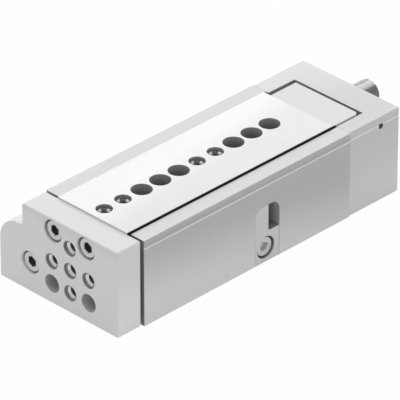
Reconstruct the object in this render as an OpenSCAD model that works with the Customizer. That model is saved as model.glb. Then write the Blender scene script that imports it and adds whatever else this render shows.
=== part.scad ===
// Pneumatic slide table with a caged ball guide, a 16 mm bore cylinder beside the guide and a
// front yoke that ties the table to the piston rod. Millimetres. X is the stroke, Z is up, the
// origin lies on the mounting face, under the middle of the table.

/* [Table] */
// Stroke of the table
stroke = 40; // [10:1:42]
// Width of the table top
table_w = 37.6; // [34:0.2:42]
// Rise of the table top over the housing rims
table_rise = 0.9; // [0.4:0.1:2]
// Thickness of the flange that covers the guide
flange_t = 4.2; // [3.8:0.1:4.8]
// Gap from the table flange to each rim
rim_gap = 0.6; // [0.5:0.1:1.4]
// Gap under the table block
block_gap = 1.2; // [0.8:0.1:1.6]
// Pitch of the holes in the table and the yoke
hole_pitch = 10; // [9:0.5:10.5]
// Distance from the housing front to the first table hole
hole_start = 5; // [4.5:0.5:8]
// Large hole diameter in the table
large_d = 8.6; // [7:0.1:9]
// Large hole depth in the table
large_depth = 8; // [5:0.5:10]
// Mouth diameter of the threaded holes
mouth_d = 6.7; // [6:0.1:7.4]
// Mouth depth of the threaded holes
mouth_depth = 1.6; // [1:0.1:2.5]
// Depth of the threaded holes in the table
thread_depth = 12; // [9:0.5:13]
// Thread drill of the M5 holes
tap_d = 4.2; // [3.8:0.1:4.4]

/* [Housing] */
// Length of the housing along the stroke
body_len = 113; // [100:1:150]
// Height of the rims beside the table
body_h = 38.1; // [36:0.1:42]
// Thickness of each rim
rim_w = 7.2; // [6:0.1:8]
// Distance from the origin to the front face of the housing
front_x = 60; // [50:1:70]
// Depth of the fine groove along each side
groove_in = 0.35; // [0.2:0.05:0.5]
// Height of the band above the groove
band_h = 3.6; // [2.5:0.1:3.9]
// Depth of the channel floor below the table top
channel_drop = 16; // [15.5:0.1:16.5]
// Height of the floor under the stop cavity
cavity_floor = 10; // [9.6:0.1:10.8]
// Wall between the stop cavity and the right side
side_wall = 14.1; // [13.6:0.1:14.6]
// Wall between the stop cavity and the cylinder bore
bore_wall = 5.4; // [5:0.1:6]

/* [Cylinder] */
// Cylinder bore
bore_d = 16; // [15:0.5:17]
// How far the cylinder axis lies inside the housing side
rod_inset = 4.7; // [4.4:0.1:5.2]
// Cover of the bore under the channel floor
bore_cover = 1.6; // [1.2:0.1:2]
// How far the cylinder side stands out of the housing
bulge_out = 11.4; // [10.5:0.1:13]
// Rise of the cylinder side over its axis
bulge_rise = 14.7; // [13.5:0.1:15]
// Radius of its upper corner
bulge_r = 10.5; // [8:0.1:11]
// Piston rod diameter
rod_d = 8; // [7:0.5:9]
// Piston length
piston_len = 14; // [12.5:0.5:18]
// Width of each piston seal
seal_w = 2.2; // [1.8:0.1:2.4]
// Width of the piston magnet
magnet_w = 3; // [2:0.1:3.2]
// Width of the piston guide ring
guide_w = 2.2; // [1.8:0.1:2.4]
// Depth of the piston grooves below the bore
groove_deep = 2.2; // [1.8:0.1:2.4]
// Length of the cap spigot in the bore
spigot_len = 3; // [2.8:0.1:4]
// Thickness of the front web that carries the rod bearing
web_len = 24; // [21:0.5:30]
// Outer diameter of the rod seal and bushing
gland_d = 14; // [13:0.5:15]
// Width of the rod seal
gland_seal_w = 4; // [3:0.5:5]
// Length of the rod bushing
bushing_len = 9; // [6:0.5:10]
// Thickness of the rod retaining ring
ring_t = 1; // [0.8:0.1:1.2]
// Distance from the front face to the retaining ring
ring_deep = 1.6; // [1:0.1:2]
// Sensor slot diameter
slot_d = 3.6; // [3:0.1:3.8]
// Sensor slot mouth
slot_mouth = 2.6; // [2:0.1:2.8]
// Distance of each sensor slot from the cylinder axis height
slot_off = 7.4; // [7:0.1:7.8]
// Depth of the air port threads
port_deep = 6; // [5:0.5:7]
// Distance from the end of the bore to the front port
port_lead = 6; // [4:0.5:8]
// Diameter of the air passages
port_bore = 2.5; // [2:0.1:3]

/* [Yoke] */
// Thickness of the yoke
yoke_t = 12.1; // [11:0.1:16]
// Gap from the housing to the yoke with the table in
yoke_gap = 1.4; // [1:0.1:3]
// How far the yoke is set in from the housing sides
yoke_inset = 0.75; // [0.5:0.05:1]
// Height of the yoke underside over the mounting face
yoke_clear = 0.5; // [0.3:0.1:1]
// Rise of the yoke top over the housing rims
yoke_rise = 0.1; // [0:0.1:0.5]
// Depth of the hole pattern centre below the yoke top
pattern_drop = 19.1; // [18.6:0.1:19.6]
// Plain hole diameter
plain_d = 7.7; // [7:0.1:8]
// Distance of the two upper screws from the sides of the table block
screw_inset = 4.2; // [3.8:0.1:4.6]
// Depth of the two upper screws below the yoke top
screw_drop = 5.2; // [5.1:0.1:5.6]
// Bevel on the yoke edges
bevel = 0.4; // [0.2:0.1:0.8]
// Fillet where the yoke's shoulder meets its main part
yoke_fillet = 1.5; // [0.5:0.1:2]

/* [Ball guide] */
// Ball diameter
ball_d = 4; // [3.6:0.1:4.2]
// Balls in each row
balls = 11; // [7:1:11]
// Pitch of the balls
ball_pitch = 5; // [4.6:0.1:5.4]
// Depth of the ball rows below the table top
ball_drop = 9.5; // [9.2:0.1:10]
// Width of each outer rail
rail_w = 2.8; // [2.6:0.1:3.4]
// Height of each outer rail
rail_h = 8.8; // [8.4:0.1:9]
// Thickness of each ball cage
cage_t = 1.1; // [0.8:0.1:1.4]
// Length of the cage beyond its end balls
cage_end = 3; // [2.5:0.1:4]
// Thread of the preload screws
preload_d = 4; // [3:0.5:4]
// Distance from the housing front to the first preload screw
preload_front = 15; // [10:0.5:20]
// Distance from the end cap to the last preload screw
preload_rear = 14; // [13:0.5:20]

/* [End cap] */
// Length of the end cap
cap_len = 28; // [26:0.5:36]
// How far the cap is set in from the housing sides
cap_inset = 0.5; // [0.3:0.1:0.7]
// Gap between the end plate and the rear wall of its pocket
pocket_gap = 2; // [1:0.1:3]
// Gap on the left of the end plate
pocket_left_gap = 2.6; // [1:0.1:3]
// Gap on the right of the end plate
pocket_right_gap = 0.4; // [0.4:0.1:1]
// Diameter of the small side hole
side_hole_d = 2.5; // [2:0.1:3]
// Distance from the small side hole to the rear face
side_hole_x = 10.2; // [8:0.1:12]
// Diameter of the dowels between cap and housing
dowel_d = 3; // [2:0.5:3]
// Length of each dowel in the cap
dowel_in_cap = 5.5; // [4:0.5:7]
// Length of each dowel in the housing
dowel_in_body = 4; // [3:0.5:5]

/* [End plate] */
// Thickness of the end plate behind the table
plate_t = 14.8; // [13.5:0.1:17]
// How far the end plate is set in from the left edge of the table
plate_left_inset = 3.3; // [2:0.1:4]
// How far the end plate is set in from the right edge of the table
plate_right_inset = 0.2; // [0.1:0.1:0.5]
// How far the end plate's top lies below the table top
plate_sunk = 0.4; // [0:0.1:0.4]
// Chamfer on its rear right corner
plate_chamfer = 1.2; // [1:0.1:3]
// Thickness of the rubber bumper
bumper_t = 3; // [2:0.1:4]
// Diameter of the rubber bumper
bumper_d = 7; // [6:0.1:7.4]

/* [Stops] */
// Width of the side pocket along the stroke
insert_w = 13.5; // [12.8:0.1:14.5]
// Distance from the end cap to the side pocket
insert_from_cap = 39.5; // [36:0.5:44]
// Housing left above the side pocket
insert_cover = 12.6; // [12:0.1:13]
// Corner radius of the side pocket
insert_r = 4.5; // [3:0.1:5]
// Thickness of the outer part of the stop block
insert_t = 5.7; // [5.5:0.1:6]
// Width of the window beside the stop block
window_w = 6.1; // [5:0.1:6.5]
// Height of the window sill
sill_z = 13.6; // [13:0.1:15]
// Height of the stop block screw
insert_screw_z = 6.6; // [6.3:0.1:6.8]
// Reach of the stop block's nose into the cavity
nose_reach = 9.5; // [8.5:0.1:11]
// Diameter of the rear stop
stop_d = 10.9; // [9:0.1:11.5]
// Offset of the rear stop axis from the table axis
stop_y = 4.8; // [4:0.1:5.5]
// Depth of the rear stop axis below the table top
stop_drop = 13; // [12.6:0.1:13.6]
// How far the rear stop stands out of the cap
stop_out = 16.6; // [12:0.1:22]
// Chamfer on the end of the rear stop
stop_chamfer = 0.5; // [0.3:0.1:1]
// Socket of the rear stop across the flats
hex_stop = 5; // [4:0.5:6]
// Length of the rubber tip
tip_len = 1.2; // [0.8:0.1:1.6]
// Diameter of the rubber tip
tip_d = 6; // [5:0.1:7]
// Width across the flats of the locknut
nut_w = 14; // [13:0.5:17]
// Height of the locknut
nut_h = 4; // [3:0.5:6]

/* [Fasteners] */
// Thread of the main screws
bolt_d = 5; // [4.6:0.1:5.2]
// Head diameter of the main screws
head_d = 8.5; // [8:0.1:9]
// Head height of the main screws
head_h = 5; // [4:0.1:5.4]
// Counterbore diameter of the main screws
sink_d = 9.6; // [9.4:0.1:9.8]
// How far the screw heads lie below the surface
head_sunk = 0.7; // [0.2:0.1:1]
// Thread engagement of the main screws
bolt_grip = 11; // [8:0.5:13]
// Socket of the main screws across the flats
hex_main = 4; // [3:0.5:4.5]
// Thread of the small screws
small_d = 3; // [2.5:0.1:3.2]
// Head diameter of the small screws
small_head_d = 5.5; // [5:0.1:5.6]
// Thread engagement of the small screws
small_grip = 9; // [7:0.5:12]
// Socket of the small screws across the flats
hex_small = 2.5; // [2:0.1:2.5]
// Thread drill of the M6 mounting holes
mount_tap_d = 5; // [4.6:0.1:5.4]
// Depth of the mounting holes
mount_depth = 8; // [6:0.5:8.5]
// Diameter of the centring recess around each mounting hole
centring_d = 9; // [8:0.5:10]
// Depth of the centring recess
centring_deep = 2.1; // [1.5:0.1:3]
// Distance from the housing front to the front mounting holes
mount_front = 15; // [12:1:20]
// Distance from the end cap to the rear mounting holes
mount_rear = 8; // [6:1:14]
// Distance from the right side to the right mounting holes
mount_right_inset = 6.6; // [5:0.1:8]
// Left row of mounting holes from the table axis
mount_left = 6; // [4:0.5:8]

/* [Hidden] */
$fn = 64;

eps = 0.01;         // overshoot of a cut
run_fit = 0.05;     // radial clearance of a sliding or threaded fit
seat_fit = 0.1;     // clearance around a piece let into a pocket
glide = 0.03;       // radial clearance of a seal lip in the bore
stand_off = 0.3;    // gap left at each end of the stroke
shank_gap = 0.25;   // radial clearance of a screw in its through hole
ball_bite = 0.3;    // how deep each ball sits in its two grooves
wall = 0.5;         // least wall beside a counterbore

// Stations along the stroke, with the table in
cap_x = front_x - body_len;
rear_x = cap_x - cap_len;
yoke_back = front_x + yoke_gap;
yoke_front = yoke_back + yoke_t;
table_back = cap_x + 2;
plate_back = table_back - plate_t;
pocket_x = plate_back - pocket_gap;
bore_front = front_x - web_len;

// Heights
table_z = body_h + table_rise;
flange_z = table_z - flange_t;
plate_top = table_z - plate_sunk;
channel_z = table_z - channel_drop;
block_z = channel_z + block_gap;
ball_z = table_z - ball_drop;
band_z = body_h - band_h;
rod_z = channel_z - bore_cover - bore_d / 2;
bulge_h = rod_z + bulge_rise;
yoke_top = body_h + yoke_rise;
pattern_z = yoke_top - pattern_drop;
screw_z = yoke_top - screw_drop;
stop_z = table_z - stop_drop;
insert_h = body_h - insert_cover;

// Widths, from the table axis
channel_y = table_w / 2 + rim_gap;
side_y = channel_y + rim_w;
rod_y = side_y - rod_inset;
bulge_y = side_y + bulge_out;
rail_y = channel_y - rail_w;
block_y = rail_y - ball_d + 2 * ball_bite;
ball_y = (block_y + rail_y) / 2;
cavity_right = side_y - side_wall;
cavity_left = rod_y - bore_d / 2 - bore_wall;
plate_left = table_w / 2 - plate_left_inset;
plate_right = table_w / 2 - plate_right_inset;
pocket_left = plate_left + pocket_left_gap;
pocket_right = plate_right + pocket_right_gap;
screw_y = block_y - screw_inset;

// Ball guide
groove_r = ball_d / 2 + seat_fit;
rail_foot = ball_z - rail_h / 2 + 0.1;
rail_top = rail_foot + rail_h;
ledge_w = rail_w + 0.4;
cage_x = (table_back + front_x) / 2 - 1;
cage_len = ball_pitch * (balls - 1) + 2 * cage_end;
cage_z0 = channel_z + 1;
cage_z1 = rail_top + 0.2;
ball_x = [for (i = [0:balls - 1]) cage_x + (i - (balls - 1) / 2) * ball_pitch];
preload_at = [for (i = [0:3])
    front_x - preload_front - i * (body_len - preload_front - preload_rear) / 3];
preload_z = (ball_z + rail_top) / 2;

// Cylinder
piston_x = cap_x + spigot_len + 0.7;
stud_d = rod_d - 2;
rod_end = piston_x + (piston_len - 6) / 2;
clip_x = front_x - ring_deep - ring_t;
seal_x = clip_x - gland_seal_w;
bushing_x = seal_x - bushing_len;
ring_in = bore_d - 2 * groove_deep;
cap_seal_in = bore_d - 2.8;
land = (piston_len - 2 * seal_w - magnet_w - guide_w) / 5;
seal_rear = piston_x + land;
magnet_x = seal_rear + seal_w + land;
guide_x = magnet_x + magnet_w + land;
seal_front = guide_x + guide_w + land;
port_front = bore_front - port_lead;
port_rear = cap_x - cap_len / 2;

// Stops
insert_x0 = cap_x + insert_from_cap;
insert_x1 = insert_x0 + insert_w;
insert_y = side_y - insert_t;
insert_screw_x = insert_x0 + insert_w / 2 + 0.85;
window_x = insert_x0 + window_w;
nose_y = cavity_right - nose_reach;
nose_z = channel_z - 3;
cavity_front = insert_x1 + 5;
lobe_left = cavity_left - 1.5;
lobe_right = cavity_right - 1.5;
lobe_z = cavity_floor + 0.5;
bumper_x = insert_x0 + seat_fit - stroke - stand_off;
bumper_y = (nose_y + cavity_right) / 2;
bumper_z = (lobe_z + nose_z) / 2;
stem_d = bumper_d - 3;

// Fasteners
small_sink_d = small_head_d + 0.5;
small_head_h = small_d;
table_screw_y = block_y - 2.7;
table_screw_z = (block_z + table_z) / 2;
cap_screw_y = side_y - cap_inset - small_sink_d / 2 - wall;
low_left_y = -rod_y - bore_d / 2 - 1.6;
low_right_y = (cavity_right + side_y) / 2;
cap_screw_at = [
    [-cap_screw_y, ball_z + 1.5], [cap_screw_y, ball_z + 1.5],
    [low_left_y, rod_z - bore_d / 2 + 0.2], [low_right_y, rod_z + 0.6],
];
dowel_at = [[low_left_y, rod_z + bore_d / 2 - 0.4], [low_right_y, rod_z - bore_d / 2]];
mount_at = [for (x = [cap_x + mount_rear, front_x - mount_front],
                 y = [-mount_left, side_y - mount_right_inset]) [x, y]];

// Hole patterns, in steps of the pitch
cross = [[0, 0], [1, 0], [-1, 0], [0, 1], [0, -1]];
hole_is_large = [false, false, true, true, true, false, false, true, true, true];

module bar(x0, x1, y0, y1, z0, z1) {
    translate([x0, y0, z0]) cube([x1 - x0, y1 - y0, z1 - z0]);
}

module cyl_x(x0, x1, y, z, d) {
    translate([x0, y, z]) rotate([0, 90, 0]) cylinder(h = x1 - x0, d = d);
}

module cyl_z(x, y, z0, z1, d) {
    translate([x, y, z0]) cylinder(h = z1 - z0, d = d);
}

module cyl_y(x, z, y0, y1, d) {
    translate([x, y0, z]) rotate([-90, 0, 0]) cylinder(h = y1 - y0, d = d);
}

module pipe_x(x0, x1, y, z, d_out, d_in) {
    difference() {
        cyl_x(x0, x1, y, z, d_out);
        cyl_x(x0 - eps, x1 + eps, y, z, d_in);
    }
}

// Rounded shoulder beside the guide, over the cylinder
module shoulder(x0, x1, reach, z0, top, inner) {
    bar(x0, x1, -reach, -inner, z0, top - bulge_r);
    bar(x0, x1, -reach + bulge_r, -inner, z0, top);
    cyl_x(x0, x1, -reach + bulge_r, top - bulge_r, bulge_r * 2);
}

// Outside of the housing and of the cap
module outside(x0, x1, inset) {
    y = side_y - inset;
    difference() {
        bar(x0, x1, -y, y, 0, body_h);
        for (s = [-1, 1]) translate([(x0 + x1) / 2, s * y, band_z]) rotate([45, 0, 0])
            cube([x1 - x0 + 1, groove_in * 1.414, groove_in * 1.414], center = true);
    }
    shoulder(x0, x1, bulge_y - inset, 0, bulge_h - inset, side_y - 1);
}

// Socket head cap screw with its head top at the origin and its shank along +Z
module cap_screw(d, d_head, h_head, length, hex) {
    difference() {
        union() {
            cylinder(h = h_head - 0.3, d = d_head);
            translate([0, 0, h_head - 0.3]) cylinder(h = 0.3, d = d_head);
            translate([0, 0, h_head]) cylinder(h = length, d = d);
        }
        translate([0, 0, -eps]) cylinder(h = h_head * 0.55, d = hex / cos(30), $fn = 6);
    }
}

// Stepped mouth and thread drill, going down from the origin
module threaded_hole(depth) {
    translate([0, 0, -depth]) cylinder(h = depth + eps, d = tap_d);
    translate([0, 0, -mouth_depth]) cylinder(h = mouth_depth + eps, d = mouth_d);
    translate([0, 0, -mouth_depth - 0.8]) cylinder(h = 0.8 + eps, d1 = tap_d, d2 = mouth_d - 0.8);
}

// Side pocket or the piece that fills it, drawn smaller by gap all round
module side_pocket(y0, y1, gap) {
    x0 = insert_x0 + gap;
    x1 = insert_x1 - gap;
    r = insert_r - gap;
    bar(x0, x1, y0, y1, gap, insert_h - gap - r);
    bar(x0 + r, x1 - r, y0, y1, gap, insert_h - gap);
    for (x = [x0 + r, x1 - r]) cyl_y(x, insert_h - gap - r, y0, y1, r * 2);
}

module housing() {
    color("silver") difference() {
        outside(cap_x, front_x, 0);
        // guide channel and stop cavity
        bar(cap_x - eps, front_x + eps, -channel_y, channel_y, rail_foot, body_h + eps);
        bar(cap_x - eps, front_x + eps, -channel_y + ledge_w, channel_y - ledge_w, channel_z,
            rail_foot + eps);
        bar(cap_x - eps, cavity_front, -cavity_left, cavity_right, cavity_floor, channel_z + eps);
        // cylinder bore, rod passage and gland
        cyl_x(cap_x - eps, bore_front, -rod_y, rod_z, bore_d);
        cyl_x(bore_front - eps, front_x + eps, -rod_y, rod_z, rod_d + 1);
        cyl_x(bushing_x, front_x + eps, -rod_y, rod_z, gland_d);
        cyl_x(clip_x, clip_x + ring_t, -rod_y, rod_z, gland_d + 1);
        // front air port
        cyl_y(port_front, rod_z, -bulge_y - eps, -bulge_y + port_deep, tap_d);
        cyl_y(port_front, rod_z, -bulge_y, -rod_y, port_bore);
        // sensor slots
        for (z = [rod_z - slot_off, rod_z + slot_off]) {
            cyl_x(cap_x - eps, front_x + eps, -bulge_y + slot_d / 2, z, slot_d);
            bar(cap_x - eps, front_x + eps, -bulge_y - eps, -bulge_y + slot_d / 2,
                z - slot_mouth / 2, z + slot_mouth / 2);
        }
        // side pocket for the stop block and its screw
        side_pocket(insert_y, side_y + eps, 0);
        bar(insert_x0, insert_x1, cavity_right - eps, insert_y + eps, -eps, nose_z + 1.5);
        bar(insert_x0, insert_x1, insert_y, side_y + eps, -eps, 1);
        cyl_y(insert_screw_x, insert_screw_z, cavity_right - bolt_grip, cavity_right + eps,
              bolt_d + 2 * run_fit);
        // cap screws, dowels and preload screws
        for (p = cap_screw_at)
            cyl_x(cap_x - eps, cap_x + small_grip + 2, p[0], p[1], small_d + 2 * run_fit);
        for (p = dowel_at) cyl_x(cap_x - eps, cap_x + dowel_in_body + 0.5, p[0], p[1], dowel_d);
        for (x = preload_at) cyl_y(x, preload_z, -side_y - eps, -channel_y + eps, preload_d);
        // mounting holes in the underside
        for (p = mount_at) {
            cyl_z(p[0], p[1], -eps, mount_depth, mount_tap_d);
            cyl_z(p[0], p[1], -eps, centring_deep, centring_d);
        }
    }
}

module end_cap() {
    color("gainsboro") difference() {
        union() {
            outside(rear_x, cap_x, cap_inset);
            cyl_x(cap_x - eps, cap_x + spigot_len, -rod_y, rod_z, bore_d - 2 * run_fit);
        }
        // pocket for the end plate, its block and its lobe
        bar(pocket_x, cap_x + eps, -pocket_left, pocket_right, flange_z - 0.6, body_h + eps);
        bar(pocket_x, cap_x + eps, -block_y - 1, block_y + 1, channel_z, flange_z);
        bar(pocket_x, cap_x + eps, -cavity_left, cavity_right, cavity_floor, channel_z + eps);
        // thread of the rear stop
        cyl_x(rear_x - eps, plate_back, -stop_y, stop_z, stop_d + 2 * run_fit);
        // groove of the cap seal
        pipe_x(cap_x + 0.8, cap_x + 2.2, -rod_y, rod_z, bore_d + 1, cap_seal_in);
        // rear air port
        cyl_y(port_rear, rod_z, -bulge_y - eps, -bulge_y + cap_inset + port_deep, tap_d);
        cyl_y(port_rear, rod_z, -bulge_y, -rod_y, port_bore);
        cyl_x(port_rear, cap_x + spigot_len + eps, -rod_y, rod_z, port_bore);
        // screws, dowels and the small side hole
        for (p = cap_screw_at) {
            cyl_x(rear_x - eps, cap_x + eps, p[0], p[1], small_d + 2 * shank_gap);
            cyl_x(rear_x - eps, rear_x + small_head_h + head_sunk, p[0], p[1], small_sink_d);
        }
        for (p = dowel_at) cyl_x(cap_x - dowel_in_cap - 0.5, cap_x + eps, p[0], p[1], dowel_d);
        cyl_y(rear_x + side_hole_x, band_z - 0.8, pocket_right + 1, side_y, side_hole_d);
    }
}

module cap_screws() {
    color("darkgray") for (p = cap_screw_at)
        translate([rear_x + head_sunk, p[0], p[1]]) rotate([0, 90, 0])
            cap_screw(small_d, small_head_d, small_head_h,
                      cap_len - head_sunk - small_head_h + small_grip + 1, hex_small);
}

module cap_seal() {
    color("dimgray") pipe_x(cap_x + 0.85, cap_x + 2.15, -rod_y, rod_z, bore_d, cap_seal_in + 0.1);
}

module cap_dowels() {
    color("lightgray") for (p = dowel_at) 
        cyl_x(cap_x - dowel_in_cap, cap_x + dowel_in_body, p[0], p[1], dowel_d);
}

module rail(side) {
    difference() {
        bar(cap_x + 0.2, front_x - 0.5, side > 0 ? rail_y : -channel_y,
            side > 0 ? channel_y : -rail_y, rail_foot, rail_top);
        cyl_x(cap_x, front_x, side * ball_y, ball_z, groove_r * 2);
    }
}

module rail_left() { color("gray") rail(-1); }
module rail_right() { color("gray") rail(1); }

module preload_screws() {
    color("dimgray") for (x = preload_at) difference() {
        cyl_y(x, preload_z, -side_y + 0.5, -channel_y, preload_d);
        translate([x, -side_y + 0.5 - eps, preload_z]) rotate([-90, 0, 0])
            cylinder(h = 2.5, d = 2 / cos(30), $fn = 6);
    }
}

module rod_bushing() {
    color("peru") pipe_x(bushing_x, seal_x, -rod_y, rod_z, gland_d, rod_d + 2 * run_fit);
}

module rod_seal() {
    color("dimgray") pipe_x(seal_x, clip_x, -rod_y, rod_z, gland_d, rod_d + 2 * glide);
}

module rod_retainer() {
    color("darkgray") difference() {
        pipe_x(clip_x, clip_x + ring_t, -rod_y, rod_z, gland_d + 1, gland_d - 3);
        bar(clip_x - eps, clip_x + ring_t + eps, -rod_y - 1.5, -rod_y + 1.5, rod_z - gland_d, rod_z);
    }
}

module stop_block() {
    color("gainsboro") difference() {
        union() {
            side_pocket(insert_y + seat_fit, side_y, seat_fit);
            bar(insert_x0 + seat_fit, insert_x1 - seat_fit, cavity_right + seat_fit,
                insert_y + seat_fit + eps, seat_fit, sill_z);
            bar(insert_x0 + seat_fit, insert_x1 - seat_fit, nose_y, cavity_right + 1.5,
                cavity_floor + 0.2, nose_z);
        }
        // window beside the post
        bar(insert_x0, window_x, insert_y - 1, side_y + eps, sill_z + 1, insert_h);
        bar(insert_x0, window_x - 1, insert_y - 1, side_y + eps, sill_z, insert_h);
        cyl_y(window_x - 1, sill_z + 1, insert_y - 1, side_y + eps, 2);
        cyl_y(insert_screw_x, insert_screw_z, cavity_right, side_y + eps, bolt_d + 2 * shank_gap);
        cyl_y(insert_screw_x, insert_screw_z, side_y - head_h - head_sunk, side_y + eps, sink_d);
    }
}

module stop_block_screw() {
    color("silver") translate([insert_screw_x, side_y - head_sunk, insert_screw_z])
        rotate([90, 0, 0])
            cap_screw(bolt_d, head_d, head_h,
                      side_wall + bolt_grip - 1 - head_sunk - head_h, hex_main);
}

module rear_stop() {
    x0 = rear_x - stop_out;
    x1 = plate_back - stand_off - tip_len;
    color("dimgray") difference() {
        union() {
            cyl_x(x0 + stop_chamfer, x1, -stop_y, stop_z, stop_d);
            translate([x0, -stop_y, stop_z]) rotate([0, 90, 0])
                cylinder(h = stop_chamfer, d1 = stop_d - 2 * stop_chamfer, d2 = stop_d);
        }
        translate([x0 - eps, -stop_y, stop_z]) rotate([0, 90, 0])
            cylinder(h = 4, d = hex_stop / cos(30), $fn = 6);
        cyl_x(x1 - 3, x1 + eps, -stop_y, stop_z, tip_d - 2);
    }
}

module rear_stop_tip() {
    x1 = plate_back - stand_off - tip_len;
    color("black") {
        cyl_x(x1, plate_back - stand_off, -stop_y, stop_z, tip_d);
        cyl_x(x1 - 3, x1, -stop_y, stop_z, tip_d - 2);
    }
}

module rear_locknut() {
    color("darkgray") difference() {
        translate([rear_x - nut_h, -stop_y, stop_z]) rotate([0, 90, 0])
            cylinder(h = nut_h, d = nut_w / cos(30), $fn = 6);
        cyl_x(rear_x - nut_h - eps, rear_x + eps, -stop_y, stop_z, stop_d + 2 * run_fit);
    }
}

module table() {
    color("whitesmoke") difference() {
        union() {
            bar(table_back, yoke_back, -table_w / 2, table_w / 2, flange_z, table_z);
            bar(table_back, yoke_back, -block_y, block_y, block_z, flange_z + eps);
        }
        for (s = [-1, 1])
            cyl_x(table_back - eps, yoke_back + eps, s * ball_y, ball_z, groove_r * 2);
        for (i = [0:len(hole_is_large) - 1])
            translate([front_x - hole_start - i * hole_pitch, 0, table_z])
                if (hole_is_large[i]) translate([0, 0, -large_depth])
                    cylinder(h = large_depth + eps, d = large_d);
                else threaded_hole(thread_depth);
        for (s = [-1, 1]) {
            cyl_x(yoke_back - bolt_grip - 1, yoke_back + eps, s * screw_y, screw_z,
                  bolt_d + 2 * run_fit);
            cyl_x(table_back - eps, table_back + small_grip, s * table_screw_y, table_screw_z,
                  small_d + 2 * run_fit);
        }
    }
}

module end_plate() {
    color("gainsboro") difference() {
        union() {
            translate([0, 0, flange_z]) linear_extrude(plate_top - flange_z) polygon([
                [table_back, -plate_left], [plate_back, -plate_left],
                [plate_back, plate_right - plate_chamfer],
                [plate_back + plate_chamfer, plate_right], [table_back, plate_right],
            ]);
            bar(plate_back, table_back, -block_y + 0.2, block_y - 0.2, block_z, flange_z + eps);
            bar(plate_back, bumper_x - bumper_t, -lobe_left, lobe_right, lobe_z, block_z + eps);
        }
        for (s = [-1, 1]) {
            cyl_x(plate_back - eps, table_back + eps, s * table_screw_y, table_screw_z,
                  small_d + 2 * shank_gap);
            cyl_x(plate_back - eps, plate_back + small_head_h + head_sunk, s * table_screw_y,
                  table_screw_z, small_sink_d);
        }
        cyl_x(bumper_x - bumper_t - 4, bumper_x - bumper_t + eps, bumper_y, bumper_z, stem_d);
    }
}

module end_plate_screws() {
    color("darkgray") for (s = [-1, 1])
        translate([plate_back + head_sunk, s * table_screw_y, table_screw_z]) rotate([0, 90, 0])
            cap_screw(small_d, small_head_d, small_head_h,
                      plate_t - small_head_h - head_sunk + small_grip - 1, hex_small);
}

module end_bumper() {
    color("black") {
        cyl_x(bumper_x - bumper_t, bumper_x, bumper_y, bumper_z, bumper_d);
        cyl_x(bumper_x - bumper_t - 4, bumper_x - bumper_t, bumper_y, bumper_z, stem_d);
    }
}

module yoke() {
    half = side_y - yoke_inset;
    reach = bulge_y + 0.5;
    top = bulge_h + 0.5;
    color("gainsboro") difference() {
        union() {
            bar(yoke_back, yoke_front, -half, half, yoke_clear, yoke_top);
            shoulder(yoke_back, yoke_front, reach, yoke_clear, top, half - 1);
            // fillet between the shoulder and the main part
            difference() {
                bar(yoke_back, yoke_front, -half - yoke_fillet, -half + eps, top - eps,
                    top + yoke_fillet);
                cyl_x(yoke_back - eps, yoke_front + eps, -half - yoke_fillet, top + yoke_fillet,
                      yoke_fillet * 2);
            }
        }
        // bevels along the front edges and the upper corners
        translate([yoke_front, 0, yoke_top]) rotate([0, 45, 0])
            cube([bevel * 1.414, half * 2 + 2, bevel * 1.414], center = true);
        translate([yoke_front, half, 0]) rotate([0, 0, 45])
            cube([bevel * 1.414, bevel * 1.414, yoke_top * 3], center = true);
        for (s = [-1, 1]) translate([yoke_back, s * half, yoke_top]) rotate([45, 0, 0])
            cube([yoke_t * 3, bevel * 1.414, bevel * 1.414], center = true);
        // hole pattern
        for (p = cross) translate([yoke_front, p[0] * hole_pitch, pattern_z + p[1] * hole_pitch])
            rotate([0, 90, 0]) threaded_hole(yoke_t + 1);
        for (s = [-1, 1])
            cyl_x(yoke_back - eps, yoke_front + eps, s * hole_pitch, pattern_z - hole_pitch,
                  plain_d);
        // screws into the table and the piston rod
        for (p = [[-screw_y, screw_z], [screw_y, screw_z], [-rod_y, rod_z]]) {
            cyl_x(yoke_back - eps, yoke_front + eps, p[0], p[1], bolt_d + 2 * shank_gap);
            cyl_x(yoke_front - head_h - head_sunk, yoke_front + eps, p[0], p[1], sink_d);
        }
    }
}

module yoke_screw(y, z) {
    translate([yoke_front - head_sunk, y, z]) rotate([0, -90, 0])
        cap_screw(bolt_d, head_d, head_h, yoke_t - head_sunk - head_h + bolt_grip, hex_main);
}

module yoke_screws() { color("silver") for (s = [-1, 1]) yoke_screw(s * screw_y, screw_z); }
module rod_screw() { color("silver") yoke_screw(-rod_y, rod_z); }

module piston_rod() {
    color("lightgray") difference() {
        union() {
            cyl_x(piston_x + piston_len, yoke_back, -rod_y, rod_z, rod_d);
            cyl_x(rod_end, piston_x + piston_len, -rod_y, rod_z, stud_d);
        }
        cyl_x(yoke_back - bolt_grip - 1, yoke_back + eps, -rod_y, rod_z, bolt_d + 2 * run_fit);
    }
}

module piston() {
    color("silver") difference() {
        cyl_x(piston_x, piston_x + piston_len, -rod_y, rod_z, bore_d - 0.8);
        cyl_x(rod_end - 1, piston_x + piston_len + eps, -rod_y, rod_z, stud_d);
        for (g = [[seal_rear, seal_w], [magnet_x, magnet_w], [guide_x, guide_w],
                  [seal_front, seal_w]])
            pipe_x(g[0], g[0] + g[1], -rod_y, rod_z, bore_d, ring_in);
    }
}

module piston_seals() {
    color("dimgray") for (x = [seal_rear, seal_front])
        pipe_x(x, x + seal_w, -rod_y, rod_z, bore_d - 2 * glide, ring_in);
}

module piston_guide() {
    color("ivory") pipe_x(guide_x, guide_x + guide_w, -rod_y, rod_z, bore_d - 2 * run_fit, ring_in);
}

module piston_magnet() {
    color("black") pipe_x(magnet_x, magnet_x + magnet_w, -rod_y, rod_z, bore_d - 1, ring_in);
}

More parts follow.
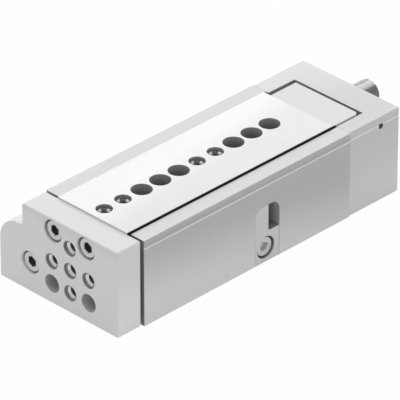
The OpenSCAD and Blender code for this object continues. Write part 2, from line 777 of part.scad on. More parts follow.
module cage(side) {
    y = side * ball_y;
    difference() {
        bar(cage_x - cage_len / 2, cage_x + cage_len / 2, y - cage_t / 2, y + cage_t / 2,
            cage_z0, cage_z1);
        for (x = ball_x) cyl_y(x, ball_z, y - cage_t, y + cage_t, ball_d + 2 * run_fit);
    }
}

module ball_row(side) {
    for (x = ball_x) translate([x, side * ball_y, ball_z]) sphere(d = ball_d);
}

module cage_left() { color("goldenrod") cage(-1); }
module cage_right() { color("goldenrod") cage(1); }
module balls_left() { color("lightgray") ball_row(-1); }
module balls_right() { color("lightgray") ball_row(1); }

housing();
end_cap();
cap_screws();
cap_seal();
cap_dowels();
rail_left();
rail_right();
preload_screws();
rod_bushing();
rod_seal();
rod_retainer();
stop_block();
stop_block_screw();
rear_stop();
rear_stop_tip();
rear_locknut();
table();
end_plate();
end_plate_screws();
end_bumper();
yoke();
yoke_screws();
rod_screw();
piston_rod();
piston();
piston_seals();
piston_guide();
piston_magnet();
cage_left();
cage_right();
balls_left();
balls_right();
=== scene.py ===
import math

import bpy
from mathutils import Matrix, Vector


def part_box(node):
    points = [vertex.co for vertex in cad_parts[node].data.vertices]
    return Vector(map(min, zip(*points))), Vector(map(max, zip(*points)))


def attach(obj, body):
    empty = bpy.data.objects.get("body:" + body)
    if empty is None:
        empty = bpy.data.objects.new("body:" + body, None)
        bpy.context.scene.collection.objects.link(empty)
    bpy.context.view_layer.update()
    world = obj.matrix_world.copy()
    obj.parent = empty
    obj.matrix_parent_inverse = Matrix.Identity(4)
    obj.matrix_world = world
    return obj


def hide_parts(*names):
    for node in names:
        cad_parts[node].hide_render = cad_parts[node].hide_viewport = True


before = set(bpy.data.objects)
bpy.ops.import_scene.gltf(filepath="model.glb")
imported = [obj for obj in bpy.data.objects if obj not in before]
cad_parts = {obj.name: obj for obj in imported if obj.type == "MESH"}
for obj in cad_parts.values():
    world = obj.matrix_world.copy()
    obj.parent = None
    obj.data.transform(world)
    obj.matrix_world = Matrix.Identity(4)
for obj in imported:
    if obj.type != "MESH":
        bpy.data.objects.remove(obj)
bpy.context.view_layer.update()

bl_info = {
    "name": "Slide table dressing",
    "version": (1, 0, 0),
    "blender": (4, 5, 0),
    "location": "3D View > Sidebar > Slide table",
    "description": "Finishes the pieces of a pneumatic slide table and sets its stage",
    "category": "Object",
}

# Sizes below are in mm; the scene is in m
MM = 0.001
TO_MM = 1000

# Tapped holes: in the yoke, across and up; in the table, along the row; and their threads
TAPS = ((0, 19.1), (10, 19.1), (-10, 19.1), (0, 29.1), (0, 9.1))
TABLE_TAPS = (55, 45, 5, -5)
HOLE_PITCH = 10
TAP_RADIUS = 2.1
TAP_PITCH = 0.8
TAP_TURNS = 11
TAP_HEIGHT = 0.28
THREAD_ROOT = 0.03

# Radius of the main screws' sockets over the corners
SOCKET_RADIUS = 2.31

# Broken edges of the smaller pieces
FINE_EDGE = 0.15

# How close an end lies to a side to count as on it
NEAR = 0.02

# How far a normal has to point along an axis for its face to count as square to it
SQUARE = 0.9

# Angles between two faces, in degrees: one face, a round wall, and an edge that is broken
FLAT_ANGLE = 0.4
SMOOTH_ANGLE = 16
SHARP_ANGLE = 60

# Corners closer than this, in m, are one
MERGE_GAP = 2e-6

# The camera's place in m, its turn in degrees, and its lens and sensor in mm
CAMERA_PLACE = (1.3412, 1.3319, 1.1651)
CAMERA_TURN = (58.773, 0, 134.873)
CAMERA_LENS = 512.9
CAMERA_SENSOR = 36


# Helpers for picking and finishing pieces

def only(piece):
    """Selects one piece alone and makes it active."""
    if bpy.context.object and bpy.context.object.mode != "OBJECT":
        bpy.ops.object.mode_set(mode="OBJECT")
    bpy.ops.object.select_all(action="DESELECT")
    piece.hide_set(False)
    piece.select_set(True)
    bpy.context.view_layer.objects.active = piece


def joined_copy(node, name):
    """A copy of a solid with its loose triangles merged into plain faces."""
    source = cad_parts[node]
    piece = bpy.data.objects.new(name, source.data.copy())
    bpy.context.scene.collection.objects.link(piece)
    only(piece)
    bpy.ops.object.mode_set(mode="EDIT")
    bpy.ops.mesh.select_all(action="SELECT")
    bpy.ops.mesh.remove_doubles(threshold=MERGE_GAP)
    bpy.ops.mesh.dissolve_limited(angle_limit=math.radians(FLAT_ANGLE))
    bpy.ops.object.mode_set(mode="OBJECT")
    return piece


def pick_edges(piece, test):
    """Goes into edit mode with only the sharp edges selected whose ends, in mm, pass a test."""
    only(piece)
    bpy.ops.object.mode_set(mode="EDIT")
    bpy.ops.mesh.select_mode(type="EDGE")
    bpy.ops.mesh.select_all(action="DESELECT")
    bpy.ops.mesh.edges_select_sharp(sharpness=math.radians(SHARP_ANGLE))
    bpy.ops.object.mode_set(mode="OBJECT")
    points = piece.data.vertices
    picked = 0
    for edge in piece.data.edges:
        if edge.select:
            edge.select = test(*(points[v].co * TO_MM for v in edge.vertices))
            picked += edge.select
    if not picked:
        raise RuntimeError(f"{piece.name}: no edge passes the test")
    bpy.ops.object.mode_set(mode="EDIT")


def ease_edges(piece, width, test, segments=2):
    """Breaks the sharp edges whose two ends pass a test."""
    pick_edges(piece, test)
    bpy.ops.mesh.bevel(offset=width * MM, segments=segments, affect="EDGES", loop_slide=False)
    bpy.ops.object.mode_set(mode="OBJECT")


def clean_shading(piece):
    """Smooth round walls and plain flat faces."""
    only(piece)
    bpy.ops.object.shade_smooth_by_angle(angle=math.radians(SMOOTH_ANGLE))


def box_edges(low, high):
    """A test for the edges that two sides of a box share."""
    def test(a, b):
        return 1 < sum(abs(a[axis] - side[axis]) < NEAR and abs(b[axis] - side[axis]) < NEAR
                       for axis in range(3) for side in (low, high))
    return test


def coil(name, start, axis, turns, pitch, radius, height, steps=32):
    """A V-shaped thread ridge that winds along an axis, its crest towards or away from it.

    start is a point on the axis, radius the foot of the ridge and height its height,
    negative when the crest points at the axis."""
    half_foot = 0.45 * pitch
    bpy.ops.object.select_all(action="DESELECT")
    bpy.ops.mesh.primitive_circle_add(vertices=3, radius=half_foot * MM, fill_type="NOTHING",
                                      location=(0, 0, 0), rotation=(math.pi / 2, 0, 0))
    piece = bpy.context.object
    piece.name = name
    bpy.ops.object.transform_apply(location=True, rotation=True, scale=True)
    low, tip, high = sorted(piece.data.vertices, key=lambda v: v.co.z)
    for corner, x, z in ((low, radius, -half_foot), (high, radius, half_foot),
                         (tip, radius + height, 0)):
        corner.co = Vector((x, 0, z)) * MM
    screw = piece.modifiers.new("thread", "SCREW")
    screw.axis = "Z"
    screw.screw_offset = pitch * MM
    screw.iterations = turns
    screw.steps = steps
    screw.render_steps = steps
    screw.use_merge_vertices = False
    only(piece)
    bpy.ops.object.modifier_apply(modifier=screw.name)
    bpy.ops.object.mode_set(mode="EDIT")
    bpy.ops.mesh.select_mode(type="EDGE")
    bpy.ops.mesh.select_all(action="DESELECT")
    bpy.ops.mesh.select_non_manifold()
    bpy.ops.mesh.fill()
    bpy.ops.mesh.select_all(action="SELECT")
    bpy.ops.mesh.normals_make_consistent(inside=False)
    bpy.ops.object.mode_set(mode="OBJECT")
    turn = Vector((0, 0, 1)).rotation_difference(Vector(axis)).to_matrix().to_4x4()
    piece.matrix_world = Matrix.Translation(Vector(start) * MM) @ turn
    bpy.ops.object.transform_apply(location=True, rotation=True, scale=True)
    bpy.ops.object.shade_smooth_by_angle(angle=math.radians(30))
    return piece


def together(name, pieces):
    """Joins pieces into one."""
    only(pieces[0])
    for piece in pieces[1:]:
        piece.select_set(True)
    bpy.ops.object.join()
    pieces[0].name = name
    return pieces[0]


def finish(piece, body, slot, *nodes):
    """Gives a piece its finish, its body and the solids that it stands for.

    Thread turns take the painted shade of deep holes, though they are cut in ground steel."""
    piece.data.materials.clear()
    piece.data.materials.append(finishes[slot])
    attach(piece, body)
    if nodes:
        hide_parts(*nodes)


def paint(piece, finish_name, test):
    """Gives a second finish to the faces that pass a test of their centre and normal, in mm."""
    piece.data.materials.append(finishes[finish_name])
    index = len(piece.data.materials) - 1
    count = 0
    for face in piece.data.polygons:
        if test(face.center * TO_MM, face.normal):
            face.material_index = index
            count += 1
    if not count:
        raise RuntimeError(f"{piece.name}: no face takes {finish_name}")


def upward_groove(high):
    """A test for the upward flank of the groove along the side of the body, which takes a painted
    highlight.
    """
    return lambda centre, normal: (high.y - 0.5 < centre.y < high.y
                                   and normal.y > 0.4 and normal.z > 0.4
                                   and centre.z < high.z - 1)


def across_hole(centre):
    """How far along the row a face of the table lies from the axis of its nearest hole."""
    return centre.x % HOLE_PITCH - HOLE_PITCH / 2


def hole_radius(centre):
    """How far a face of the table lies from the axis of the nearest hole in its row."""
    return math.hypot(across_hole(centre), centre.y)


def in_painted_glint(centre):
    """True in the four narrow sectors of a hole that lie along and across its row, which take
    painted glints.
    """
    near, far = sorted((abs(across_hole(centre)), abs(centre.y)))
    return near < 0.34 * far


def tap_radius(point):
    """How far a point of the yoke lies from the axis of its nearest tapped hole."""
    return min(math.hypot(point.y - y, point.z - z) for y, z in TAPS)


def corners(node):
    """Lowest and highest corner of a solid, in mm."""
    low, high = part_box(node)
    return low * TO_MM, high * TO_MM


# Node material building blocks

class Surface:
    """A node material on Object coordinates, built step by step."""

    def __init__(self, name):
        self.material = bpy.data.materials.new(name)
        self.material.use_nodes = True
        self.tree = self.material.node_tree
        self.tree.nodes.clear()
        self.output = self.node("ShaderNodeOutputMaterial")
        self.shader = self.node("ShaderNodeBsdfPrincipled")
        self.join(self.shader.outputs["BSDF"], self.output.inputs["Surface"])
        self.coords = self.node("ShaderNodeTexCoord").outputs["Object"]

    def node(self, kind, **settings):
        made = self.tree.nodes.new(kind)
        for key, value in settings.items():
            setattr(made, key, value)
        return made

    def join(self, source, target):
        self.tree.links.new(source, target)

    def stretched(self, scale):
        """Object coordinates scaled by a different amount along each axis."""
        mapping = self.node("ShaderNodeMapping")
        mapping.inputs["Scale"].default_value = scale
        self.join(self.coords, mapping.inputs["Vector"])
        return mapping.outputs["Vector"]

    def grain(self, vector, scale, detail=3.0, roughness=0.55):
        noise = self.node("ShaderNodeTexNoise")
        noise.inputs["Scale"].default_value = scale
        noise.inputs["Detail"].default_value = detail
        noise.inputs["Roughness"].default_value = roughness
        self.join(vector, noise.inputs["Vector"])
        return noise.outputs["Fac"]

    def ranged(self, value, low, high, start=0.3, stop=0.7, kind="LINEAR"):
        """Maps a pattern value to a number range."""
        mapped = self.node("ShaderNodeMapRange", interpolation_type=kind)
        mapped.inputs["From Min"].default_value = start
        mapped.inputs["From Max"].default_value = stop
        mapped.inputs["To Min"].default_value = low
        mapped.inputs["To Max"].default_value = high
        self.join(value, mapped.inputs["Value"])
        return mapped.outputs["Result"]

    def tinted(self, value, dark, light, start=0.3, stop=0.7):
        """Maps a pattern value to a blend of two colours."""
        ramp = self.node("ShaderNodeValToRGB")
        ramp.color_ramp.elements[0].position = start
        ramp.color_ramp.elements[0].color = (*dark, 1)
        ramp.color_ramp.elements[1].position = stop
        ramp.color_ramp.elements[1].color = (*light, 1)
        self.join(value, ramp.inputs["Fac"])
        return ramp.outputs["Color"]

    def bump(self, height, strength, distance):
        """Tilts the shading by a pattern taken as a height; distance is in m."""
        bump = self.node("ShaderNodeBump")
        bump.inputs["Strength"].default_value = strength
        bump.inputs["Distance"].default_value = distance
        self.join(height, bump.inputs["Height"])
        self.join(bump.outputs["Normal"], self.shader.inputs["Normal"])

    def set(self, **values):
        """Sets inputs of the shader by their names."""
        for key, value in values.items():
            self.shader.inputs[key.replace("_", " ")].default_value = value


def shade(colour, factor):
    """A colour made darker or paler by a factor."""
    return tuple(min(1.0, c * factor) for c in colour[:3])


# Grain of the metals: how fine the broad pattern is, the shares of the two, and relief in m
BROAD_SCALE = 28.0
BROAD_SHARE = 0.35
FINE_SHARE = 0.65
GRAIN_HEIGHT = 0.00005


def grained_metal(name, colour, rough, metallic, stretch, scale, contrast, bump, painted_light=None):
    """Metal with a fine directional or even grain in its colour, gloss and relief.

    painted_light is painted light and shade: a direction, per metre, the factor by which the
    colour turns paler or darker along it, and where the change starts and stops."""
    surface = Surface(name)
    fine = surface.grain(surface.stretched(stretch), scale, detail=4.0)
    broad = surface.grain(surface.coords, BROAD_SCALE, detail=2.0)
    mixed = surface.node("ShaderNodeMath", operation="MULTIPLY_ADD")
    surface.join(broad, mixed.inputs[0])
    mixed.inputs[1].default_value = BROAD_SHARE
    lessened = surface.node("ShaderNodeMath", operation="MULTIPLY")
    surface.join(fine, lessened.inputs[0])
    lessened.inputs[1].default_value = FINE_SHARE
    surface.join(lessened.outputs[0], mixed.inputs[2])
    value = mixed.outputs[0]
    colours = surface.tinted(value, shade(colour, 1 - contrast), shade(colour, 1 + contrast))
    # Painted light and shade: a paler or darker copy of the colours, blended in along a direction
    if painted_light:
        direction, gain, start, stop = painted_light
        along = surface.node("ShaderNodeVectorMath", operation="DOT_PRODUCT")
        surface.join(surface.coords, along.inputs[0])
        along.inputs[1].default_value = direction
        factor = surface.ranged(along.outputs["Value"], 0.0, 1.0, start=start, stop=stop,
                                kind="SMOOTHSTEP")
        blend = surface.node("ShaderNodeMix", data_type="RGBA", blend_type="MIX")
        surface.join(factor, blend.inputs["Factor"])
        surface.join(colours, blend.inputs[6])
        painted_light_colours = surface.tinted(value, shade(colour, gain - contrast),
                                 shade(colour, gain + contrast))
        surface.join(painted_light_colours, blend.inputs[7])
        colours = blend.outputs[2]
    surface.join(colours, surface.shader.inputs["Base Color"])
    surface.join(surface.ranged(value, rough * 0.85, rough * 1.15),
                 surface.shader.inputs["Roughness"])
    surface.bump(fine, bump, GRAIN_HEIGHT)
    surface.set(Metallic=metallic)
    return surface.material


finishes = {}


def make_finishes(look):
    """Makes every finish. Each row has its colour, roughness, metallic share, stretch and
    scale of the grain, contrast, relief and, where it has one, painted light and shade."""
    lengthwise = (0.02, 1, 1)
    even = (1, 1, 1)
    table = {
        # Painted light: the housing turns paler towards its bottom and its front
        "anodised_housing": (look.housing, 0.5, 0.3, lengthwise, 900, 0.05, 0.25,
                             ((4, 0, -26), 1.53, -0.8, 0.1)),
        # Lengthwise milling grain, and a colour paler than the housing's sides as painted light
        # on the rim tops
        "lit_milled_rim": (look.rim, 0.45, 0.3, lengthwise, 1100, 0.04, 0.25),
        # Painted shade: a dark grey for the housing's front face, in the gap behind the yoke
        "front_gap_shade": (look.front, 0.55, 0.3, even, 2400, 0.03, 0.25),
        # Painted light: the cap turns paler towards its bottom and its -y side
        "anodised_cap": (look.cap, 0.5, 0.3, even, 1600, 0.025, 0.25,
                         ((0, -16, -26), 1.12, -1.25, -0.5)),
        # Painted light: the yoke turns paler towards its bottom
        "anodised_yoke": (look.yoke, 0.5, 0.3, even, 1600, 0.025, 0.25,
                          ((0, 0, -26), 1.1, -1.0, -0.85)),
        # Painted light: a paler copy of the yoke's colour for its +y side, paler still towards
        # its bottom
        "painted_lit_yoke_side": (shade(look.yoke, 1.12), 0.5, 0.3, even, 1600, 0.025, 0.25,
                         ((0, 0, -26), 1.1, -0.75, -0.25)),
        # Painted shade: the table top turns darker towards its rear and its +y side
        "ground_steel": (look.table, 0.32, 0.3, lengthwise, 1100, 0.035, 0.2,
                         ((-4.5, 30, 0), 0.865, -0.35, 0.25)),
        "plate_grey": (look.plate, 0.45, 0.3, even, 2400, 0.025, 0.25),
        "hardened_steel": ((0.5, 0.5, 0.5), 0.3, 0.9, lengthwise, 2600, 0.05, 0.2),
        "screw_steel": (look.screws, 0.32, 0.8, even, 1800, 0.05, 0.15),
        "chrome_rod": ((0.75, 0.75, 0.77), 0.12, 1.0, even, 2600, 0.02, 0.05),
        "ball_steel": ((0.8, 0.8, 0.82), 0.08, 1.0, even, 2600, 0.02, 0.03),
        # Painted highlight: a pale band along the upper -y side of the rear stop
        "dark_steel": (look.stop, 0.22, 0.95, even, 2000, 0.06, 0.2,
                       ((0, -120, 139), 2.26, 4.35, 4.8)),
        "brass_cage": ((0.72, 0.5, 0.2), 0.35, 1.0, lengthwise, 2400, 0.06, 0.2),
        "bronze": ((0.55, 0.34, 0.16), 0.38, 1.0, even, 2400, 0.08, 0.2),
        "black_rubber": ((0.03, 0.03, 0.03), 0.7, 0.0, even, 1600, 0.2, 0.4),
        "seal_rubber": ((0.05, 0.05, 0.05), 0.6, 0.0, even, 1600, 0.2, 0.4),
        "guide_plastic": ((0.72, 0.68, 0.58), 0.45, 0.0, even, 1400, 0.05, 0.2),
        "magnet": ((0.06, 0.06, 0.065), 0.5, 0.4, even, 1800, 0.15, 0.3),
        # Bare bore walls, and also painted glints in the table's tapped holes
        "bore_wall_and_glint": (look.bores_and_glints, 0.4, 0.4, even, 1200, 0.15, 0.3),
        # Painted shade: a darker grey for the walls of holes
        "bore_shade": ((0.36, 0.36, 0.36), 0.4, 0.4, even, 1200, 0.15, 0.3),
        # Painted shade: dark bore walls that turn paler towards the table's top
        "bore_shade_pale_top": ((0.26, 0.26, 0.26), 0.4, 0.4, even, 1200, 0.15, 0.3,
                       ((0, 0, 110), 1.9, 3.6, 4.3)),
        # Painted shade: near black for the depths of tapped holes, their threads and sockets
        "hole_shade": (look.deep, 0.35, 0.3, even, 1500, 0.12, 0.2),
        # Painted highlight: a pale line on the upward flank of the side groove
        "painted_groove_highlight": ((0.9, 0.9, 0.9), 0.3, 0.4, lengthwise, 1100, 0.05, 0.1),
        "tapped": (look.taps, 0.25, 1.0, even, 1500, 0.08, 0.2),
        # Painted shade: near black for faces seen only down narrow gaps
        "black_gap_shade": ((0.02, 0.02, 0.022), 0.5, 0.2, lengthwise, 1500, 0.15, 0.2),
    }
    for slot, values in table.items():
        finishes[slot] = grained_metal(slot, *values)


def colour_setting(name, description, value):
    return bpy.props.FloatVectorProperty(name=name, description=description, default=value,
                                         size=3, min=0, max=1, subtype="COLOR")


class SlideTableLook(bpy.types.PropertyGroup):
    housing: colour_setting("Housing", "Clear anodised housing", (0.49, 0.49, 0.49))
    # The rims' colour is paler than the housing's as painted light on its tops
    rim: colour_setting("Rims", "Milled rims on top of the housing", (0.6, 0.6, 0.6))
    # The front face's colour is painted shade in the gap behind the yoke
    front: colour_setting("Front face", "Face of the housing behind the yoke", (0.25, 0.25, 0.25))
    cap: colour_setting("End cap", "Clear anodised end cap", (0.59, 0.59, 0.59))
    yoke: colour_setting("Yoke", "Clear anodised yoke", (0.65, 0.65, 0.65))
    table: colour_setting("Table", "Ground table top", (0.78, 0.78, 0.78))
    plate: colour_setting("End plate", "End plate behind the table", (0.63, 0.63, 0.63))
    screws: colour_setting("Screws", "Plated screws", (0.62, 0.62, 0.62))
    stop: colour_setting("Rear stop", "Dark turned steel", (0.19, 0.19, 0.19))
    # This colour is also the painted glint in the table's tapped holes
    bores_and_glints: colour_setting("Bores", "Walls of drilled and reamed holes", (0.68, 0.68, 0.68))
    taps: colour_setting("Taps", "Cut threads in tapped holes", (0.7, 0.7, 0.7))
    # This colour is painted shade in the depths of tapped holes, their threads and sockets
    deep: colour_setting("Deep holes", "Oily depths of tapped holes and sockets",
                         (0.08, 0.08, 0.08))
    floor: colour_setting("Floor", "Pale floor", (0.7, 0.7, 0.7))
    ambient: bpy.props.FloatProperty(name="Ambient", description="Strength of the plain world",
                                     default=0.6, min=0, max=2)
    lamp: bpy.props.FloatProperty(name="Lamp", description="Power of the overhead lamp, in W",
                                  default=15, min=0, max=100)
    backlight: bpy.props.FloatProperty(name="Back light", default=8, min=0, max=100,
                                       description="Power of the lamp behind the part, in W")
    edge: bpy.props.FloatProperty(name="Edge", description="Width of the broken edges, in mm",
                                  default=0.2, min=0.05, max=0.5)


class SLIDE_OT_finishes(bpy.types.Operator):
    """Makes the finishes and gives them to the solids"""
    bl_idname = "slide.finishes"
    bl_label = "Finishes"

    def execute(self, context):
        make_finishes(context.scene.slide_look)
        for name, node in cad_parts.items():
            for slot in node.material_slots:
                key = slot.material.name.split(".")[0] if slot.material else ""
                if key not in finishes:
                    raise RuntimeError(f"{name}: no finish for {key!r}")
                slot.material = finishes[key]
        return {"FINISHED"}


class SLIDE_OT_housing(bpy.types.Operator):
    """Housing with broken edges, milled rims paler as painted light, a painted highlight in its
    groove, painted shade on its front face, and bore walls in its holes
    """
    bl_idname = "slide.housing"
    bl_label = "Housing"

    def execute(self, context):
        piece = joined_copy("housing", "housing_body")
        low, high = corners("housing")
        # The guide's half is a plain box, which the bulge over the cylinder stands beside
        low.y = -high.y
        ease_edges(piece, context.scene.slide_look.edge, box_edges(low, high))
        clean_shading(piece)
        finish(piece, "housing", "anodised_housing", "housing")
        # The rim tops take a paler colour as painted light, with a milled grain
        paint(piece, "lit_milled_rim",
              lambda centre, normal: normal.z > 0.7 and centre.z > high.z - 1)
        # Painted highlight along the side groove
        paint(piece, "painted_groove_highlight", upward_groove(high))
        # Painted shade on the front face, in the gap behind the yoke
        paint(piece, "front_gap_shade",
              lambda centre, normal: normal.x > SQUARE and centre.x > high.x - 0.05)
        paint(piece, "bore_wall_and_glint", lambda centre, normal: abs(centre.y) < high.y - 1.2
              and 0.6 < centre.z < high.z - 0.5 and centre.x < high.x - 0.1)
        return {"FINISHED"}


class SLIDE_OT_cap(bpy.types.Operator):
    """End cap with broken edges, a painted highlight in its groove and painted shade in its bores
    """
    bl_idname = "slide.cap"
    bl_label = "End cap"

    def execute(self, context):
        piece = joined_copy("end_cap", "cap_body")
        low, high = corners("end_cap")
        ease_edges(piece, context.scene.slide_look.edge, box_edges(low, high))
        clean_shading(piece)
        finish(piece, "housing", "anodised_cap", "end_cap")
        # Painted highlight along the side groove
        paint(piece, "painted_groove_highlight", upward_groove(high))
        # Painted shade on the cap's inner faces and bores
        paint(piece, "bore_shade", lambda centre, normal: low.x + 0.5 < centre.x
              and 0.6 < centre.z < high.z - 0.4 and abs(centre.y) < high.y - 0.6)
        return {"FINISHED"}


class SLIDE_OT_table(bpy.types.Operator):
    """Ground table with painted shade on its flanks, its front face and in its holes, and painted
    glints in its tapped holes
    """
    bl_idname = "slide.table"
    bl_label = "Table"

    def execute(self, context):
        piece = joined_copy("table", "table_slide_plate")
        low, high = corners("table")
        ease_edges(piece, FINE_EDGE, box_edges(low, high))
        ease_edges(piece, 0.12, lambda a, b: all(
            end.z > high.z - NEAR and abs(end.y) < 5 for end in (a, b)))
        clean_shading(piece)

        def in_hole(centre, top, bottom, radius):
            """Within a range of depths below the table's top and near a hole's axis."""
            return top < high.z - centre.z < bottom and hole_radius(centre) < radius

        finish(piece, "carriage", "ground_steel", "table")
        # Painted shade: the table's flanks and faces more than 4 mm below its top turn near
        # black, down in the gaps
        paint(piece, "black_gap_shade",
              lambda centre, normal: abs(centre.y) > high.y - 0.01 or centre.z < high.z - 4)
        # Painted shade: the table's front face takes the plate's darker grey in the seam above
        # the yoke
        paint(piece, "plate_grey",
              lambda centre, normal: normal.x > SQUARE and centre.x > high.x - 1)
        # Painted shade in the large holes, paler near their mouths
        paint(piece, "bore_shade_pale_top", lambda centre, normal: in_hole(centre, 0.2, 14, 4.6)
              and hole_radius(centre) > 3.6)
        # Painted shade on the mouth walls of the tapped holes
        paint(piece, "bore_shade", lambda centre, normal: in_hole(centre, 0.2, 2.4, 3.6))
        # Painted shade in the cores and cones of the tapped holes
        paint(piece, "hole_shade", lambda centre, normal: in_hole(centre, 2.4, 14, 2.2)
              or (normal.z > 0.2 and in_hole(centre, 1.5, 3, 3.4)))
        # Painted glints: pale sectors in the cones of the table's tapped holes
        paint(piece, "bore_wall_and_glint", lambda centre, normal: normal.z > 0.2
              and in_hole(centre, 1.65, 2.6, 3) and in_painted_glint(centre))
        return {"FINISHED"}


class SLIDE_OT_end_plate(bpy.types.Operator):
    """End plate behind the table"""
    bl_idname = "slide.end_plate"
    bl_label = "End plate"

    def execute(self, context):
        piece = joined_copy("end_plate", "end_plate_body")
        low, high = corners("end_plate")
        # Its sides take painted shade ahead of the joint between the housing and the cap
        joint = corners("housing")[0].x
        ease_edges(piece, FINE_EDGE, box_edges(low, high))
        only(piece)
        bpy.ops.object.mode_set(mode="EDIT")
        bpy.ops.mesh.select_all(action="SELECT")
        bpy.ops.mesh.bisect(plane_co=(joint * MM, 0, 0), plane_no=(1, 0, 0))
        bpy.ops.object.mode_set(mode="OBJECT")
        clean_shading(piece)
        finish(piece, "carriage", "plate_grey", "end_plate")
        paint(piece, "black_gap_shade",
              lambda centre, normal: abs(normal.y) > SQUARE and centre.x > joint)
        return {"FINISHED"}


class SLIDE_OT_yoke(bpy.types.Operator):
    """Yoke with broken edges, bore walls, painted shade in its tapped holes and painted light on
    its +y side
    """
    bl_idname = "slide.yoke"
    bl_label = "Yoke"

    def execute(self, context):
        piece = joined_copy("yoke", "yoke_body")
        low, high = corners("yoke")
        # Where the bulge over the cylinder begins; the holes lie on the other side
        bulge = -28
        ease_edges(piece, FINE_EDGE, lambda a, b: all(
            end.x > high.x - NEAR and bulge < end.y < 14 and 2 < end.z < 28 for end in (a, b)))
        clean_shading(piece)

        def in_tap(centre, top, bottom, radius):
            """Within a range of depths behind the yoke's front and near a hole's axis."""
            return top < high.x - centre.x < bottom and tap_radius(centre) < radius

        finish(piece, "carriage", "anodised_yoke", "yoke")
        paint(piece, "bore_wall_and_glint", lambda centre, normal: low.x + 0.05 < centre.x < high.x - 0.2
              and bulge < centre.y and abs(centre.y) < high.y - 0.5
              and 1 < centre.z < high.z - 0.5 and abs(normal.x) < SQUARE)
        # Painted shade on the mouth walls of the tapped holes
        paint(piece, "bore_shade",
              lambda centre, normal: abs(normal.x) < 0.2 and in_tap(centre, 0.2, 1.6, 3.4))
        paint(piece, "tapped",
              lambda centre, normal: normal.x > 0.3 and in_tap(centre, 1.5, 2.4, 3.4))
        # Painted shade in the cores of the tapped holes
        paint(piece, "hole_shade",
              lambda centre, normal: in_tap(centre, 2.4, high.x - low.x, 2.2))
        # Painted light: the yoke's +y side takes a paler copy of its colour
        paint(piece, "painted_lit_yoke_side",
              lambda centre, normal: normal.y > SQUARE and centre.y > high.y - 0.1)
        return {"FINISHED"}


class SLIDE_OT_stop_block(bpy.types.Operator):
    """Stop block in the side of the housing"""
    bl_idname = "slide.stop_block"
    bl_label = "Stop block"

    def execute(self, context):
        piece = joined_copy("stop_block", "stop_block_body")
        low, high = corners("stop_block")
        ease_edges(piece, 0.1, lambda a, b: min(a.y, b.y) > high.y - NEAR)
        clean_shading(piece)
        finish(piece, "housing", "plate_grey", "stop_block")
        # Painted shade on all but the outer face of the stop block, which shows in its window
        paint(piece, "bore_shade_pale_top", lambda centre, normal: centre.y < high.y - 0.12)
        return {"FINISHED"}


def in_screw(point, top, outwards):
    """How deep a point lies below the top of a screw, and how far from the screw's axis."""
    gap = point - Vector(top)
    height = gap.dot(outwards)
    return -height, (gap - outwards * height).length


def socket_screws(node, tops, outwards, head_radius, socket_radius):
    """Socket head screws with rounded head rims and countersunk socket mouths."""
    piece = joined_copy(node, node + "_turned")
    for top in tops:
        for radius, width, segments in ((head_radius, 0.55, 6), (socket_radius, 0.4, 1)):

            def on_circle(*ends):
                places = [in_screw(end, top, outwards) for end in ends]
                return all(abs(depth) < NEAR and abs(reach - radius) < 0.1
                           for depth, reach in places)

            ease_edges(piece, width, on_circle, segments)
    clean_shading(piece)
    return piece


class SLIDE_OT_main_screws(bpy.types.Operator):
    """Socket head screws in the yoke and the stop block"""
    bl_idname = "slide.main_screws"
    bl_label = "Main screws"

    def execute(self, context):
        for node, body, face in (("yoke_screws", "carriage", (1, 0, 0)),
                                 ("rod_screw", "carriage", (1, 0, 0)),
                                 ("stop_block_screw", "housing", (0, 1, 0))):
            low, high = corners(node)
            radius = (high.z - low.z) / 2
            middle = (low + high) / 2
            if face[0]:
                sides = (low.y + radius, high.y - radius)
                tops = sorted({(high.x, round(y, 1), round(middle.z, 1)) for y in sides})
            else:
                tops = [(round(middle.x, 1), high.y, round(middle.z, 1))]
            outwards = Vector(face)
            piece = socket_screws(node, tops, outwards, radius, SOCKET_RADIUS)
            finish(piece, body, "screw_steel", node)

            def in_socket(centre, normal):
                places = [in_screw(centre, top, outwards) for top in tops]
                return any(0.35 < depth < 3.4 and reach < 2.6 for depth, reach in places)

            # Painted shade in the sockets of the yoke's screws
            paint(piece, "hole_shade" if face[0] else "bore_wall_and_glint", in_socket)
        return {"FINISHED"}


class SLIDE_OT_small_screws(bpy.types.Operator):
    """Small screws of the cap, the end plate and the guide preload"""
    bl_idname = "slide.small_screws"
    bl_label = "Small screws"

    def execute(self, context):
        for node, body, slot in (("cap_screws", "housing", "screw_steel"),
                                 ("end_plate_screws", "carriage", "screw_steel"),
                                 ("preload_screws", "housing", "dark_steel"),
                                 ("rear_locknut", "housing", "screw_steel")):
            piece = joined_copy(node, node + "_turned")
            low, high = corners(node)
            ease_edges(piece, FINE_EDGE, lambda a, b: any(
                abs(end - side) < NEAR for end in (a.x, b.x) for side in (low.x, high.x)))
            clean_shading(piece)
            finish(piece, body, slot, node)
        return {"FINISHED"}


